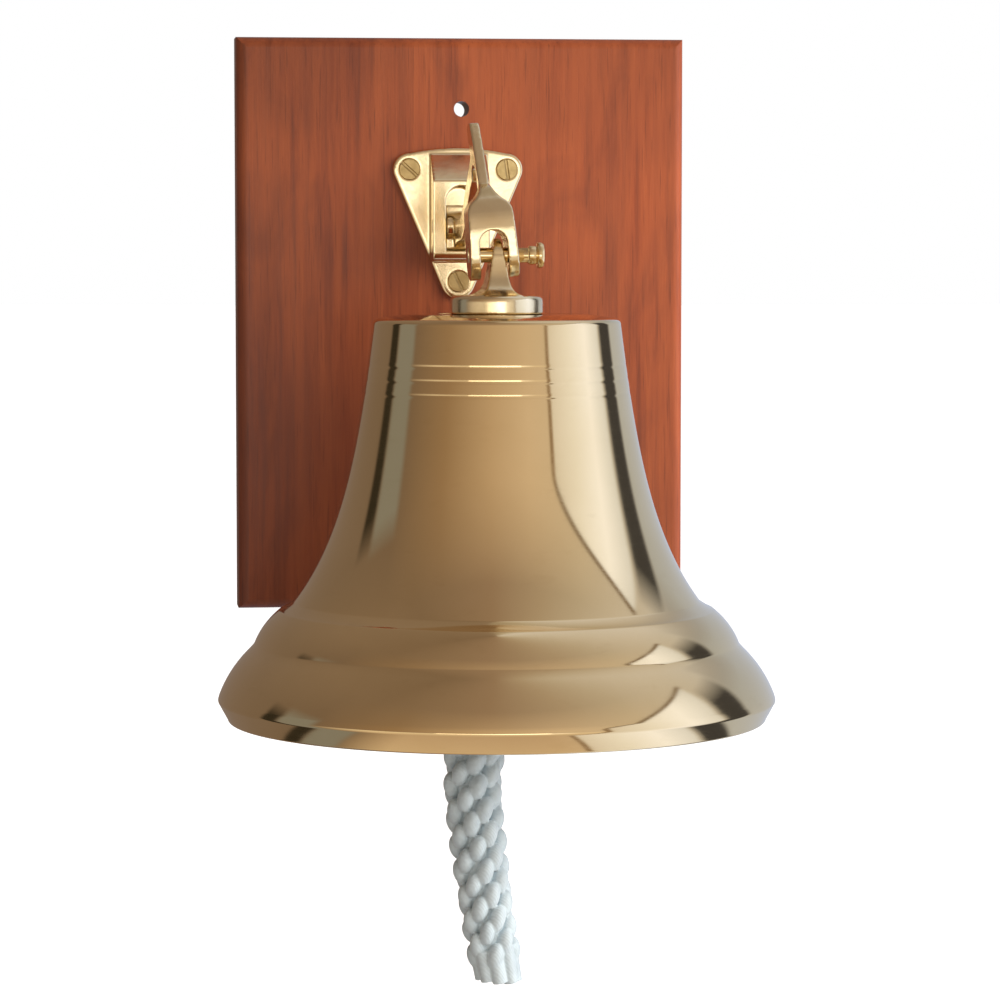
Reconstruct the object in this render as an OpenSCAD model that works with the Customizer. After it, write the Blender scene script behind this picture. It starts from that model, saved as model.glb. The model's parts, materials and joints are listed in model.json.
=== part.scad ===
// Ship's bell on a wooden wall plaque: brass bracket, brass bell, clapper and a plaited cord lanyard.
// Millimetres. +Z is up, the wall is at Y = 0 and the bell hangs in front of it, towards -Y.

/* [Plaque] */
// Width of the wooden board
plaque_w = 175; // [170:190]
// Height of the wooden board
plaque_h = 222; // [218:240]
// Thickness of the wooden board
plaque_t = 19; // [18:22]
// Round-over along the board's front edges
plaque_round = 4; // [2:5]
// Distance between the two wall screw holes
wall_hole_spacing = 167; // [160:180]
// Diameter of the wall screw holes
wall_hole_d = 6; // [4:7]

/* [Bracket] */
// Thickness of the backplate
plate_t = 3; // [2.6:0.1:3.4]
// Half the distance between the two upper plate screws
plate_screw_x = 19; // [18:21]
// Height of the upper plate screws above the board's middle
plate_screw_top = 60; // [59:61]
// Height of the lower plate screw above the board's middle
plate_screw_low = 16.5; // [15:0.5:18]
// How far the bracket sits to the left of the board's and the bell's middle
bracket_left = 1.6; // [0:0.1:2]
// Degrees that the arm leans to the left about the bell pin
arm_lean = 5; // [0:0.5:5]
// Thickness of the arm's thin web
arm_web = 3.6; // [3.2:0.1:4.4]
// Distance from the board's front face to the bell pin
reach = 122; // [122:126]
// Height of the bell pin above the board's middle
pin_z = 27; // [26:28]
// Diameter of the bell pin
bell_pin_d = 5.4; // [5:0.1:5.8]
// Gap between the fork's two legs
fork_gap = 10; // [9.6:0.1:10.4]
// Width over the fork's two legs
fork_w = 16.2; // [15.8:0.1:17.6]

/* [Bell] */
// Largest diameter of the bell's mouth
mouth_d = 200; // [196:202]
// Height of the bell's body, from lip to top face
bell_h = 145; // [144:146]
// Wall thickness at the waist
waist_wall = 5; // [4:0.5:6]
// Depth of the three fine turned grooves
groove_depth = 0.6; // [0.4:0.1:0.9]

/* [Clapper] */
// Diameter of the clapper's ball
ball_d = 25; // [23:26]
// Diameter of the clapper's rod
rod_d = 6; // [5:0.5:7]

/* [Lanyard] */
// Diameter of the plaited cord
lanyard_d = 16; // [14:16]

/* [Hidden] */
// Quality of round surfaces
$fn = 96;
// A small overlap for clean cuts
cut = 1;
// Running clearance on a radius
run = 0.05;

// Plane of the board's front face
front_y = -plaque_t;
// Axis of the bell pin, and of the bell
axis_y = front_y - reach;

// Backplate: radii of the rounded corners
lobe_top_r = 6.5;
lobe_low_r = 6.9;
plate_edge = 0.8;
top_rise = 2;
top_arc_r = (plate_screw_x * plate_screw_x + top_rise * top_rise) / (2 * top_rise);

// Boss on the backplate, measured from the board's middle
boss_w = 22;
boss_depth = 16;
boss_low = 24.5;
boss_high = 55.5;
boss_slope_top = 66;
boss_round = 3;
channel_w = 12;
channel_low = 28.5;
channel_top = 53.5;
channel_back = 5;

// Arm: foot held in the boss
foot_w = 11.4;
foot_low = 29;
foot_high = 46;
foot_depth = 5;
foot_pin_d = 5;
foot_pin_z = 38;
foot_pin_out = 11;
foot_eye_d = 9;

// Arm's web from the side: a rising neck, then a horn whose front edge runs down into the hood
arm_neck_foot = 8;
arm_neck_from = 28;
arm_neck_run = 80;
arm_neck_low = 36.5;
arm_neck_rise = 23.5;
arm_neck_thick = 4.1;
arm_neck_root = 3;
arm_neck_root_scale = 7;
horn_back = [88, 65.2];
horn_back_r = 4.5;
horn_top = 71.9;
horn_tip_back = 92.8;
horn_tip_front = 98.5;
horn_tip_r = 3;
front_arc = [45.2, 23.3];
front_arc_r = 75;
crotch = [100, 51.5];
crotch_r = 8;
leg_low = 40;
leg_front = 118;

// Plate screws: places with the turn of each slot, thread, head and slot
screw_places = [
    [-plate_screw_x, plate_screw_top, 42],
    [plate_screw_x, plate_screw_top, 82],
    [0, plate_screw_low, 64]
];
screw_d = 4;
screw_in = 14;
screw_head_d = 8;
screw_head_h = 0.7;
screw_cone_h = 2.2;
screw_slot_w = 1.1;
screw_slot_h = 0.7;

// Fork
ear_r = 8.5;
hood_r = 17;
hood_z = pin_z + 8.5;
shoulder_out_r = 5.5;
shoulder_out_z = pin_z + 15;
shoulder_rise = 12;
fork_splay = 0.8;
arch_z = pin_z + 4;

// Bell pin with its collar and round head
pin_left = -fork_w / 2 + 0.3;
pin_collar_x = 13;
pin_collar_d = 6.8;
pin_head_x = 16;
pin_head_d = 9.4;
pin_head_end = 18.6;

// Bell, measured from the lip's lowest face
pin_over_rim = 166;
rim_z = pin_z - pin_over_rim;
waist_r = 43.5;
waist_taper = 0.10;
flare = 22.2;
flare_z = 38;
flare_scale = 30;
shoulder_z = 141.4;
shoulder_r = 2.2;
shoulder_slope = 8;
groove_z = [117.3, 122.3, 127.3];
groove_r = 1.4;
step_z = 42.4;
mouth_r = mouth_d / 2;
ledge_corner = [mouth_r - 24.4, 40.3];
band_high = [[mouth_r - 22.1, 39.4], [mouth_r - 13.1, 27.6]];
cove_corner = [mouth_r - 12.8, 26.8];
band_low = [[mouth_r - 10.6, 24.6], [mouth_r - 0.4, 9]];
band_bulge = 0.9;
lip_round = 1.6;
lip_low_r = mouth_r - 3.4;
lip_edge = 0.8;
lip_in_r = mouth_r - 6.5;
bow_z = 28;
top_wall = 6;

// Crown: disc, neck and eye
disc_r = 16.6;
disc_h = 6.8;
disc_round = 2;
eye_r = 6;
tongue_half = 4.5;
tongue_taper = 0.165;
neck_spread = 3.2;
neck_scale = 1.4;
neck_side = 8;
neck_side_scale = 4.2;

// Eye bolt, washer and nut under the bell's top
bolt_d = 8;
bolt_top = bell_h + 9;
washer_r = 14;
washer_h = 2;
nut_af = 13;
nut_h = 6.5;
inside_top = bell_h - top_wall;
ring_r = 6.5;
ring_wire = 2.2;
bolt_ring_z = 119;

// Link between the eye bolt and the clapper
link_r = 8;
link_wire = 1.9;
hang_gap = 0.3;
link_z = bolt_ring_z - ring_r + ring_wire + link_wire + hang_gap - link_r;

// Clapper
clapper_wire = 2;
clapper_ring_z = link_z - link_r + link_wire + clapper_wire + hang_gap - ring_r;
ball_z = 24;
tail_ring_r = 3.6;
tail_wire = 1.7;
tail_ring_z = 6.5;

// Lanyard: loop through the tail ring, and the route of the plaited cord
loop_r = 5;
loop_wire = 1.5;
loop_z = tail_ring_z - tail_ring_r + tail_wire + loop_wire + hang_gap - loop_r;
cord_sides = 12;
cord_route = [[-3, 0.5], [-6.5, -8], [-8.6, -18], [-8.2, -32], [-6, -52], [-3, -74], [1, -97]];

// Moves a piece of the bracket to the bracket's own middle
module bracketed() {
    translate([-bracket_left, 0, 0]) children();
}

// Leans a piece of the arm about the bell pin
module leaning() {
    translate([0, 0, pin_z]) rotate([0, -arm_lean, 0]) translate([0, 0, -pin_z]) children();
}

// A bar along X, centred on [y, z]
module bar_x(d, x0, x1, y, z) {
    translate([x0, y, z]) rotate([0, 90, 0]) cylinder(d = d, h = x1 - x0);
}

// A bar along Y, from y0 to y1, centred on [x, z]
module bar_y(d, y0, y1, x, z) {
    translate([x, y1, z]) rotate([90, 0, 0]) cylinder(d = d, h = y1 - y0);
}

// A side view drawn as [distance from the board's front face, height], given its width along X
module side_plate(width) {
    translate([-width / 2, front_y, 0])
        rotate([90, 0, 90]) linear_extrude(width) mirror([1, 0]) children();
}

// A front view drawn as [x, height], given the distances it runs between
module front_plate(near, far) {
    translate([0, front_y - near, 0]) rotate([90, 0, 0]) linear_extrude(far - near) children();
}

// Everything that hangs with the bell is drawn around its own axis, from the lip upwards
module hung() {
    translate([0, axis_y, rim_z]) children();
}

// A wire ring whose hole runs along X
module ring_along_x(r, wire, z) {
    translate([0, 0, z]) rotate([0, 90, 0]) rotate_extrude() translate([r, 0]) circle(d = 2 * wire);
}

// A wire ring whose hole runs along Y
module ring_along_y(r, wire, z) {
    translate([0, 0, z]) rotate([90, 0, 0]) rotate_extrude() translate([r, 0]) circle(d = 2 * wire);
}

// Section of the board, as [along the board, depth], with its front corners rounded
module board_section(length) {
    translate([-length / 2, plaque_round - plaque_t]) square([length, plaque_t - plaque_round]);
    translate([plaque_round - length / 2, -plaque_t]) square([length - 2 * plaque_round, plaque_t]);
    for (side = [-1, 1])
        translate([side * (length / 2 - plaque_round), plaque_round - plaque_t]) circle(plaque_round);
}

module plaque() {
    color([0.45, 0.22, 0.12])
    difference() {
        intersection() {
            translate([0, 0, -plaque_h / 2]) linear_extrude(plaque_h) board_section(plaque_w);
            translate([-plaque_w / 2, 0, 0])
                rotate([90, 0, 90]) linear_extrude(plaque_w) mirror([1, -1]) board_section(plaque_h);
        }
        for (side = [-1, 1])
            bar_y(wall_hole_d, -plaque_t - cut, cut, 0, side * wall_hole_spacing / 2);
        bracketed()
            for (place = screw_places)
                bar_y(screw_d, front_y - cut, front_y + screw_in, place[0], place[1]);
    }
}

// Straight edge that touches two circles, given as [x, z, r], on the side of the first angle
function touch_angle(a, b, side) =
    atan2(b[1] - a[1], b[0] - a[0]) + side * acos((a[2] - b[2]) / norm([b[0] - a[0], b[1] - a[1]]));

function touch_point(a, angle) = [a[0] + a[2] * cos(angle), a[1] + a[2] * sin(angle)];

// Rounded triangle of the backplate
module plate_outline(inset) {
    left = [-plate_screw_x, plate_screw_top, lobe_top_r - inset];
    right = [plate_screw_x, plate_screw_top, lobe_top_r - inset];
    low = [0, plate_screw_low, lobe_low_r - inset];
    left_angle = touch_angle(left, low, -1);
    right_angle = touch_angle(right, low, 1);
    polygon([
        touch_point(left, 90),
        touch_point(left, left_angle),
        touch_point(low, left_angle),
        touch_point(low, right_angle),
        touch_point(right, right_angle),
        touch_point(right, 90)
    ]);
    for (lobe = [left, right, low])
        translate([lobe[0], lobe[1]]) circle(lobe[2]);
    intersection() {
        translate([0, left[1] + left[2] + top_rise - top_arc_r]) circle(top_arc_r);
        translate([-plate_screw_x, plate_screw_top])
            square([2 * plate_screw_x, left[2] + top_rise]);
    }
}

// Side view of the boss, with its sloping top and rounded lower edge
module boss_side() {
    polygon([
        [plate_t - cut / 2, boss_low],
        [boss_depth - boss_round, boss_low],
        [boss_depth - boss_round, boss_low + boss_round],
        [boss_depth, boss_low + boss_round],
        [boss_depth, boss_high],
        [plate_t, boss_slope_top],
        [plate_t - cut / 2, boss_slope_top]
    ]);
    translate([boss_depth - boss_round, boss_low + boss_round]) circle(boss_round);
}

// Front view of the channel in the boss, closed below and arched above
module channel_front() {
    translate([-channel_w / 2, channel_low])
        square([channel_w, channel_top - channel_w / 2 - channel_low]);
    translate([0, channel_top - channel_w / 2]) circle(d = channel_w);
}

module backplate() {
    color([0.80, 0.66, 0.38])
    bracketed()
    difference() {
        union() {
            front_plate(0, plate_t - plate_edge) plate_outline(0);
            front_plate(plate_t - plate_edge, plate_t) plate_outline(plate_edge / 2);
            side_plate(boss_w) boss_side();
        }
        front_plate(channel_back, boss_depth + cut) channel_front();
        bar_x(foot_pin_d, -boss_w / 2 - cut, boss_w / 2 + cut, front_y - foot_pin_out, foot_pin_z);
        for (place = screw_places) {
            bar_y(screw_d, front_y - plate_t - cut, front_y + cut, place[0], place[1]);
            screw_cone(place);
        }
    }
}

// Countersunk cone under a screw's head
module screw_cone(place) {
    translate([place[0], front_y - plate_t, place[1]])
        rotate([-90, 0, 0]) cylinder(d1 = screw_head_d, d2 = screw_d, h = screw_cone_h);
}

module plate_screws() {
    color([0.78, 0.64, 0.36])
    bracketed()
    for (place = screw_places)
        difference() {
            union() {
                bar_y(screw_d, front_y - plate_t, front_y + screw_in, place[0], place[1]);
                screw_cone(place);
                bar_y(screw_head_d, front_y - plate_t - screw_head_h, front_y - plate_t,
                      place[0], place[1]);
            }
            translate([place[0], front_y - plate_t - screw_head_h, place[1]])
                rotate([0, place[2], 0])
                    cube([screw_head_d + cut, 2 * screw_slot_h, screw_slot_w], center = true);
        }
}

// Points round an arc, from one angle to another
function arc_points(centre, r, from, to, steps) =
    [for (i = [0 : steps]) let(a = from + (to - from) * i / steps) centre + r * [cos(a), sin(a)]];

// Height of the neck's middle, and half of its thickness, at a distance from the board
function arm_neck_share(y) = min(1, max(0, (y - arm_neck_from) / arm_neck_run));
function arm_neck_z(y) = arm_neck_low + arm_neck_rise * (1 - cos(180 * arm_neck_share(y))) / 2;
function arm_neck_half(y) = arm_neck_thick + arm_neck_root * exp(-(y - arm_neck_foot) / arm_neck_root_scale);

// Side view of the arm's web: neck, horn, and the leg that runs down into the hood
module web_side() {
    steps = 24;
    crotch_end = 162;
    low_end = crotch[0] + crotch_r * cos(crotch_end);
    front_high = asin((horn_top + horn_tip_r / 2 - front_arc[1]) / front_arc_r);
    front_low = asin((pin_z + 2 * ear_r - front_arc[1]) / front_arc_r);
    polygon(concat(
        [for (i = [0 : steps]) let(y = arm_neck_foot + (horn_back[0] - arm_neck_foot) * i / steps)
            [y, arm_neck_z(y) + arm_neck_half(y)]],
        arc_points(horn_back, horn_back_r, -90, 0, 6),
        arc_points([horn_tip_back, horn_top], horn_tip_r, 180, 90, 6),
        arc_points([horn_tip_front, horn_top], horn_tip_r, 90, 30, 4),
        arc_points(front_arc, front_arc_r, front_high, front_low, 12),
        [[leg_front, pin_z + 2 * ear_r], [leg_front, leg_low], [crotch[0] + crotch_r, leg_low]],
        arc_points(crotch, crotch_r, 0, crotch_end, 12),
        [for (i = [steps : -1 : 0]) let(y = arm_neck_foot + (low_end - arm_neck_foot) * i / steps)
            [y, arm_neck_z(y) - arm_neck_half(y)]]
    ));
}

// Side view of the fork: round ears at the pin under a quarter-round hood
module fork_side() {
    translate([reach, pin_z]) circle(ear_r);
    translate([reach - ear_r, pin_z]) square([2 * ear_r, hood_z - pin_z]);
    intersection() {
        translate([reach + ear_r - hood_r, hood_z]) circle(hood_r);
        translate([reach - ear_r, hood_z - cut]) square([hood_r, hood_r + cut]);
    }
}

// Front view of the fork: legs that splay a little, under shoulders that sweep up into the web
module fork_front() {
    half = fork_w / 2;
    sweep = ((half - arm_web / 2) ^ 2 + shoulder_rise ^ 2) / (2 * (half - arm_web / 2));
    hollow_r = sweep - shoulder_out_r;
    hollow = [arm_web / 2 + hollow_r, shoulder_out_z + shoulder_rise];
    round_x = half - shoulder_out_r;
    meet = shoulder_out_r / sweep;
    meet_x = round_x + meet * (hollow[0] - round_x);
    meet_z = shoulder_out_z + meet * shoulder_rise;
    polygon([
        [-half, shoulder_out_z],
        [half, shoulder_out_z],
        [half + fork_splay, pin_z - ear_r],
        [-half - fork_splay, pin_z - ear_r]
    ]);
    translate([-round_x, shoulder_out_z - cut]) square([2 * round_x, shoulder_out_r + cut]);
    for (side = [-1, 1])
        translate([side * round_x, shoulder_out_z]) circle(shoulder_out_r);
    difference() {
        translate([-meet_x, meet_z]) square([2 * meet_x, hollow[1] - meet_z]);
        for (side = [-1, 1])
            translate([side * hollow[0], hollow[1]]) circle(hollow_r);
    }
}

// Front view of the gap between the fork's legs
module gap_front() {
    translate([-fork_gap / 2, pin_z - 2 * ear_r]) square([fork_gap, 2 * ear_r + arch_z - pin_z]);
    translate([0, arch_z]) circle(d = fork_gap);
}

module arm() {
    color([0.82, 0.68, 0.40])
    bracketed()
    difference() {
        union() {
            leaning() side_plate(arm_web) web_side();
            side_plate(foot_w)
                translate([channel_back, foot_low]) square([foot_depth, foot_high - foot_low]);
            side_plate(foot_w) translate([foot_pin_out, foot_pin_z]) circle(d = foot_eye_d);
            leaning() intersection() {
                side_plate(fork_w + 2 * fork_splay) fork_side();
                front_plate(reach - hood_r, reach + hood_r) fork_front();
            }
        }
        leaning() front_plate(reach - hood_r, reach + hood_r) gap_front();
        bar_x(bell_pin_d + 2 * run, -fork_w, fork_w, axis_y, pin_z);
        bar_x(foot_pin_d, -foot_w, foot_w, front_y - foot_pin_out, foot_pin_z);
    }
}

module arm_pin() {
    color([0.78, 0.64, 0.36])
    bracketed() bar_x(foot_pin_d, -boss_w / 2, boss_w / 2, front_y - foot_pin_out, foot_pin_z);
}

module bell_pin() {
    color([0.84, 0.72, 0.44])
    bracketed() {
        bar_x(bell_pin_d, pin_left, pin_collar_x, axis_y, pin_z);
        bar_x(pin_collar_d, pin_collar_x, pin_head_x, axis_y, pin_z);
        bar_x(pin_head_d, pin_head_x, pin_head_end, axis_y, pin_z);
    }
}

// Width of the tongue from its middle, and of its side, at a height above the disc
function neck_half(h) = tongue_half - tongue_taper * h + neck_spread * exp(-h / neck_scale);
function neck_side_half(h) = eye_r + neck_side * exp(-h / neck_side_scale);

// Outline of the neck between the disc and the eye, for one of the two half-width curves
module neck_outline(sideways) {
    top = pin_over_rim - bell_h - disc_h + (sideways ? 0 : eye_r);
    heights = [for (i = [0 : 16]) top * i / 16];
    half = [for (h = heights) sideways ? neck_side_half(h) : neck_half(h)];
    steps = len(heights) - 1;
    foot = bell_h + disc_h;
    polygon(concat(
        [for (i = [0 : steps]) [half[i], foot + heights[i]]],
        [for (i = [steps : -1 : 0]) [-half[i], foot + heights[i]]]
    ));
}

module crown() {
    color([0.80, 0.66, 0.40])
    hung()
    difference() {
        union() {
            translate([0, 0, bell_h]) cylinder(r = disc_r, h = disc_h - disc_round);
            translate([0, 0, bell_h]) cylinder(r = disc_r - disc_round, h = disc_h);
            translate([0, 0, bell_h + disc_h - disc_round])
                rotate_extrude() translate([disc_r - disc_round, 0]) circle(disc_round);
            intersection() {
                rotate([90, 0, 0]) translate([0, 0, -disc_r])
                    linear_extrude(2 * disc_r) neck_outline(false);
                union() {
                    rotate([90, 0, 90]) translate([0, 0, -disc_r])
                        linear_extrude(2 * disc_r) neck_outline(true);
                    bar_x(2 * eye_r, -disc_r, disc_r, 0, pin_over_rim);
                }
            }
        }
        bar_x(bell_pin_d + 4 * run, -disc_r, disc_r, 0, pin_over_rim);
        translate([0, 0, bell_h - cut]) cylinder(d = bolt_d, h = bolt_top - bell_h + cut);
    }
}

// Radius of the bell's waist at a height above the lip
function waist(z) = waist_r + waist_taper * (bell_h - 1 - z) + flare * exp(-(z - flare_z) / flare_scale);

// Upper end of the rounded shoulder, where the top's gentle slope begins
shoulder_x = waist(shoulder_z) - shoulder_r + shoulder_r * sin(shoulder_slope);
shoulder_top = shoulder_z + shoulder_r * cos(shoulder_slope);

// Outer half-section from the shoulder down to the lip, which is cut back below its widest edge
function outer_points() = concat(
    [[shoulder_x - (bell_h - shoulder_top) / tan(shoulder_slope), bell_h]],
    arc_points([waist(shoulder_z) - shoulder_r, shoulder_z], shoulder_r, 90 - shoulder_slope, 0, 6),
    [for (i = [1 : 28]) let (z = shoulder_z - (shoulder_z - step_z) * i / 28) [waist(z), z]],
    cove_points([waist(step_z), step_z], ledge_corner, band_high[0]),
    band_points(band_high[0], band_high[1]),
    cove_points(band_high[1], cove_corner, band_low[0]),
    band_points(band_low[0], band_low[1]),
    arc_points([mouth_r - lip_round, band_low[1][1] - lip_round], lip_round, 10, -20, 4),
    [[lip_low_r, lip_edge], [lip_low_r - lip_edge, 0]]
);

// A gently bulging band between two points of the section
function band_points(a, b) = [
    for (i = [0 : 8])
        let (t = i / 8, out = 4 * band_bulge * t * (1 - t))
        a + (b - a) * t + [out, out / 2]
];

// A hollow curve that leaves one point towards the corner and reaches the other point from it
function cove_points(a, corner, b) = [
    for (i = [1 : 5])
        let (t = i / 6)
        (1 - t) ^ 2 * a + 2 * t * (1 - t) * corner + t ^ 2 * b
];

// Inner half-section from the lip up to the inside of the top
function inner_points() = concat(
    [[lip_in_r, 0]],
    [for (i = [0 : 28]) let (z = bow_z + (inside_top - 2 - bow_z) * i / 28) [waist(z) - wall_at(z), z]],
    [[waist(inside_top) - wall_at(inside_top) - 3, inside_top]]
);

// The wall is thickest at the sound bow
function wall_at(z) = waist_wall + 3 * exp(-(z - bow_z) / 18);

module bell() {
    color([0.83, 0.70, 0.45])
    hung()
    difference() {
        rotate_extrude() polygon(concat([[0, bell_h]], outer_points(), inner_points(), [[0, inside_top]]));
        for (z = groove_z)
            rotate_extrude() translate([waist(z) + groove_r - groove_depth, z]) circle(groove_r, $fn = 32);
        translate([0, 0, inside_top - cut]) cylinder(d = bolt_d, h = top_wall + 2 * cut);
    }
}

module crown_bolt() {
    color([0.74, 0.60, 0.34])
    hung() {
        translate([0, 0, bolt_ring_z + ring_r]) cylinder(d = bolt_d, h = bolt_top - bolt_ring_z - ring_r);
        ring_along_x(ring_r, ring_wire, bolt_ring_z);
    }
}

module crown_washer() {
    color([0.30, 0.20, 0.13])
    hung() translate([0, 0, inside_top - washer_h]) difference() {
        cylinder(r = washer_r, h = washer_h);
        translate([0, 0, -cut]) cylinder(d = bolt_d, h = washer_h + 2 * cut);
    }
}

module crown_nut() {
    color([0.78, 0.64, 0.36])
    hung() translate([0, 0, inside_top - washer_h - nut_h]) difference() {
        cylinder(d = nut_af / cos(30), h = nut_h, $fn = 6);
        translate([0, 0, -cut]) cylinder(d = bolt_d, h = nut_h + 2 * cut);
    }
}

module clapper_link() {
    color([0.76, 0.62, 0.36])
    hung() ring_along_y(link_r, link_wire, link_z);
}

module clapper_rod() {
    color([0.76, 0.62, 0.36])
    hung() {
        ring_along_x(ring_r, clapper_wire, clapper_ring_z);
        translate([0, 0, tail_ring_z + tail_ring_r])
            cylinder(d = rod_d, h = clapper_ring_z - ring_r - tail_ring_z - tail_ring_r);
        ring_along_x(tail_ring_r, tail_wire, tail_ring_z);
    }
}

module clapper_ball() {
    color([0.78, 0.64, 0.38])
    hung() difference() {
        translate([0, 0, ball_z]) sphere(d = ball_d);
        translate([0, 0, ball_z - ball_d]) cylinder(d = rod_d, h = 2 * ball_d);
    }
}

module lanyard_loop() {
    color([0.86, 0.87, 0.89])
    hung() ring_along_y(loop_r, loop_wire, loop_z);
}

// One swept tube along the cord's route, which lies in the plane of the bell's axis
module lanyard() {
    count = len(cord_route);
    steps = [for (i = [0 : count - 1])
        cord_route[min(i + 1, count - 1)] - cord_route[max(i - 1, 0)]];
    rings = [for (i = [0 : count - 1]) for (k = [0 : cord_sides - 1])
        let (a = 360 * k / cord_sides, out = lanyard_d / 2 * cos(a), along = steps[i] / norm(steps[i]))
        [cord_route[i][0] - along[1] * out, lanyard_d / 2 * sin(a), cord_route[i][1] + along[0] * out]];
    walls = [for (i = [0 : count - 2]) for (k = [0 : cord_sides - 1])
        let (a = i * cord_sides + k, b = i * cord_sides + (k + 1) % cord_sides)
        [a, b, b + cord_sides, a + cord_sides]];
    ends = [
        [for (k = [cord_sides - 1 : -1 : 0]) k],
        [for (k = [0 : cord_sides - 1]) (count - 1) * cord_sides + k]
    ];
    color([0.86, 0.87, 0.89])
    hung() polyhedron(points = rings, faces = concat(walls, ends));
}

plaque();
backplate();
plate_screws();
arm();
arm_pin();
bell_pin();
crown();
bell();
crown_bolt();
crown_washer();
crown_nut();
clapper_link();
clapper_rod();
clapper_ball();
lanyard_loop();
lanyard();
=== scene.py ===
"""Looks of the ship's bell: brass bell and bracket on a varnished board, with a plaited cord lanyard."""
import json
import math

import bmesh
import bpy
import numpy as np
from mathutils import Matrix, Vector


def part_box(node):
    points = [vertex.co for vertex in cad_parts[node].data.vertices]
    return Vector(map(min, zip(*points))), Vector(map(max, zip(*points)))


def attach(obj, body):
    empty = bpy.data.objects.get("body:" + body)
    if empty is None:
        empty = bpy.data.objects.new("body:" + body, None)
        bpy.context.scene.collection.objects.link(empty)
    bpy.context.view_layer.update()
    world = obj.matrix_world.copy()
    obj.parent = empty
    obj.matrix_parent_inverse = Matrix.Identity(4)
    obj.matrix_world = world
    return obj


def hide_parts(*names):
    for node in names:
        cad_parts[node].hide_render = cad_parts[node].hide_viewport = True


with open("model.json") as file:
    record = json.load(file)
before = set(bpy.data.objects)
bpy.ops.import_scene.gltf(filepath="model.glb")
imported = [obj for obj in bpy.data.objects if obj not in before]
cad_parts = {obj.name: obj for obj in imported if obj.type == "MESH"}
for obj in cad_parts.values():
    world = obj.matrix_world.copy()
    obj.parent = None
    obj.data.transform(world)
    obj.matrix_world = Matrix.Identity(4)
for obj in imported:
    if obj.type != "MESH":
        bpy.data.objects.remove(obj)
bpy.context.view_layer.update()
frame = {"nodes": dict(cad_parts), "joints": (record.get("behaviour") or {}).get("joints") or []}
MM = 0.001

# ---------------------------------------------------------------- places, from the frame

JOINTS = {joint["name"]: joint for joint in frame["joints"]}
PIN = Vector(JOINTS["bell_swing"]["pos_m"])
BELL_LOW, BELL_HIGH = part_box("bell")
BELL_AXIS = Vector((0, PIN.y, 0))
RIM_Z = BELL_LOW.z


# ---------------------------------------------------------------- camera

CAMERA_PLACE = Vector((-0.1439, -1.4159, 0.0302))
CAMERA_YAW = 0.1133
CAMERA_PITCH = 0.0706
CAMERA_LENS = 129.2
CAMERA_SENSOR = 36.0
CAMERA_SEES_TO = 20.0


def make_camera():
    """A long lens a little left of the bell and above its middle, looking slightly down."""
    data = bpy.data.cameras.new("camera")
    data.lens = CAMERA_LENS
    data.sensor_width = CAMERA_SENSOR
    data.clip_end = CAMERA_SEES_TO
    camera = bpy.data.objects.new("camera", data)
    bpy.context.scene.collection.objects.link(camera)
    camera.location = CAMERA_PLACE
    camera.rotation_euler = (math.pi / 2 - CAMERA_PITCH, 0, -CAMERA_YAW)
    bpy.context.scene.camera = camera


make_camera()


# ---------------------------------------------------------------- mesh helpers

WELD_GAP = 0.00001


def link_mesh(name, vertices, faces, smooth=True):
    """A new object in the scene from plain lists of vertices and faces."""
    mesh = bpy.data.meshes.new(name)
    mesh.from_pydata([tuple(v) for v in vertices], [], faces)
    mesh.validate()
    mesh.update()
    if smooth:
        mesh.shade_smooth()
    piece = bpy.data.objects.new(name, mesh)
    bpy.context.scene.collection.objects.link(piece)
    return piece


def apply_modifiers(piece):
    """Makes the result of a piece's modifiers its own mesh."""
    bpy.context.view_layer.update()
    graph = bpy.context.evaluated_depsgraph_get()
    mesh = bpy.data.meshes.new_from_object(piece.evaluated_get(graph))
    piece.modifiers.clear()
    piece.data = mesh


def lathe(name, section, place, sides, axis="z", closed=True):
    """A surface of revolution. section is a list of (radius, height along the axis)."""
    vertices, faces = [], []
    rows = len(section)
    for radius, height in section:
        for k in range(sides):
            a = 2 * math.pi * k / sides
            c, s = radius * math.cos(a), radius * math.sin(a)
            point = (c, s, height) if axis == "z" else (height, c, s)
            vertices.append(Vector(point) + place)
    last = rows if closed else rows - 1
    for i in range(last):
        j = (i + 1) % rows
        for k in range(sides):
            n = (k + 1) % sides
            faces.append((i * sides + k, i * sides + n, j * sides + n, j * sides + k))
    return link_mesh(name, vertices, faces)


def close_ends(piece):
    """Caps the open ends of a lathe and points all the faces outwards."""
    mesh = bmesh.new()
    mesh.from_mesh(piece.data)
    edges = [e for e in mesh.edges if e.is_boundary]
    if edges:
        bmesh.ops.holes_fill(mesh, edges=edges, sides=0)
    bmesh.ops.recalc_face_normals(mesh, faces=mesh.faces)
    mesh.to_mesh(piece.data)
    mesh.free()


def voxel_smooth(piece, voxel, passes):
    """Rebuilds a piece's surface on a fine grid, then smooths it, which rounds edges and inner corners."""
    remesh = piece.modifiers.new("remesh", "REMESH")
    remesh.mode = "VOXEL"
    remesh.voxel_size = voxel
    smooth = piece.modifiers.new("smooth", "SMOOTH")
    smooth.iterations = passes
    apply_modifiers(piece)
    piece.data.shade_smooth()


def rounded_casting(node, name, voxel, passes):
    """A copy of a CAD node's surface with its edges and inner corners rounded, as a casting's are."""
    piece = frame["nodes"][node].copy()
    piece.data = frame["nodes"][node].data.copy()
    piece.name = name
    piece.data.name = name
    piece.parent = None
    for key in list(piece.keys()):
        del piece[key]
    bpy.context.scene.collection.objects.link(piece)
    piece.data.materials.clear()
    weld = piece.modifiers.new("weld", "WELD")
    weld.merge_threshold = WELD_GAP
    voxel_smooth(piece, voxel, passes)
    return piece


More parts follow.
